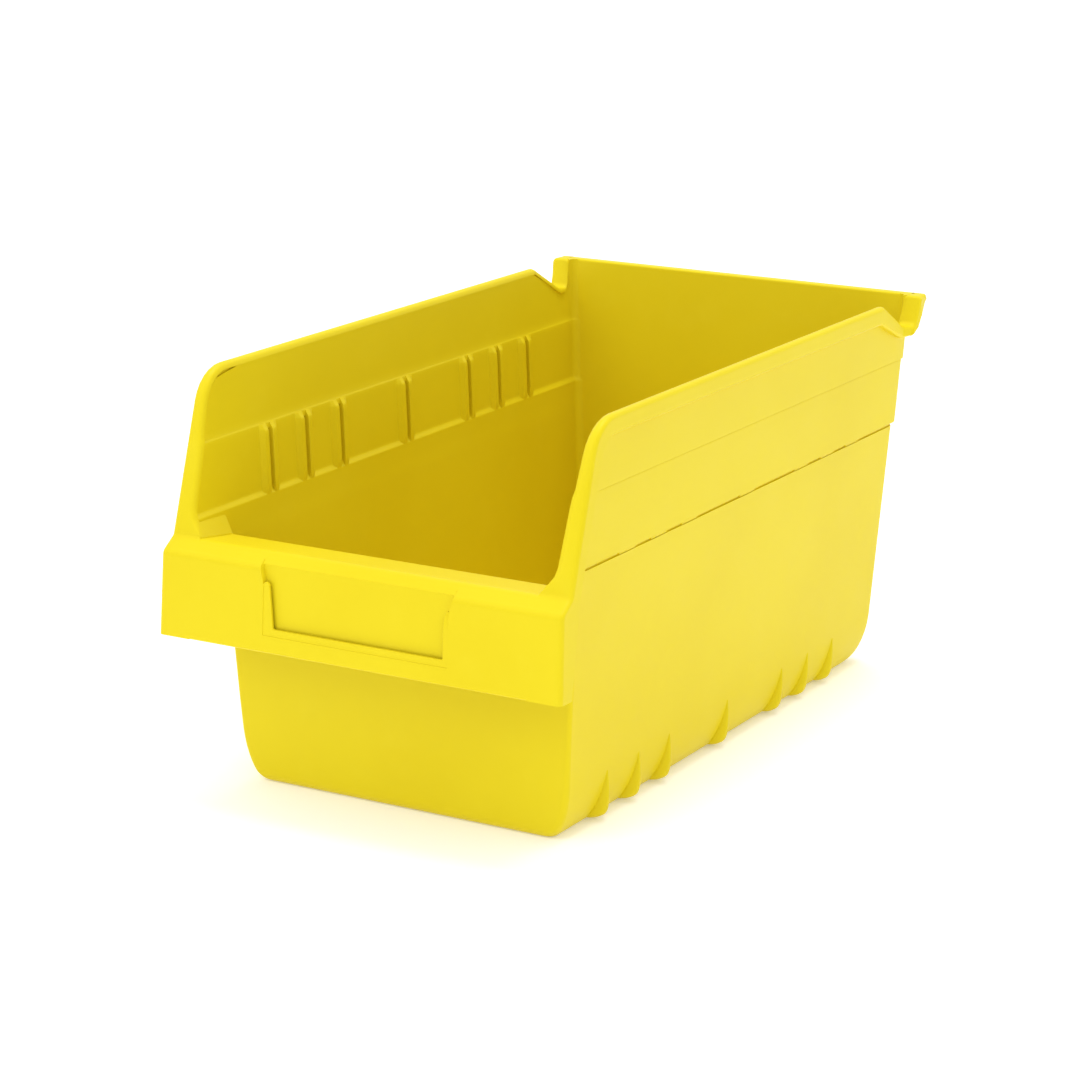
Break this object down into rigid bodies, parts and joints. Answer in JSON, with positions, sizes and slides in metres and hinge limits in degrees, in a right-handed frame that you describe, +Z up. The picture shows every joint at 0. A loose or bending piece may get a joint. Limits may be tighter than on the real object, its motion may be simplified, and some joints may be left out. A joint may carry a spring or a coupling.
{
  "type": "stackable storage bin",
  "caption": "Open-front moulded shelf bin with stepped side walls, a deep front lip with a label holder, divider slots, divider feet and a rear hanging lip with ears.",
  "frame": {"origin": "middle of the outer box on the surface the bin stands on", "axes": "+Y towards the rear hanging lip (the open front faces -Y), +X to the right seen from the front, +Z up"},
  "size_m": [0.1684, 0.2954, 0.1524],
  "materials": {
    "bin_plastic": "satin moulded polypropylene, solid yellow"
  },
  "bodies": {
    "root": {"floor_panel": "bin_plastic", "front_lip": "bin_plastic", "front_wall": "bin_plastic", "label_holder": "bin_plastic", "left_cheek": "bin_plastic", "left_corner_ramp": "bin_plastic", "left_divider_feet": "bin_plastic", "left_lip_end": "bin_plastic", "left_lower_wall": "bin_plastic", "left_middle_band": "bin_plastic", "left_rear_ear": "bin_plastic", "left_rim_flange": "bin_plastic", "left_slot_ribs": "bin_plastic", "left_upper_band": "bin_plastic", "rear_hanging_lip": "bin_plastic", "rear_wall": "bin_plastic", "right_cheek": "bin_plastic", "right_corner_ramp": "bin_plastic", "right_divider_feet": "bin_plastic", "right_lip_end": "bin_plastic", "right_lower_wall": "bin_plastic", "right_middle_band": "bin_plastic", "right_rear_ear": "bin_plastic", "right_rim_flange": "bin_plastic", "right_slot_ribs": "bin_plastic", "right_upper_band": "bin_plastic"}
  },
  "joints": []
}
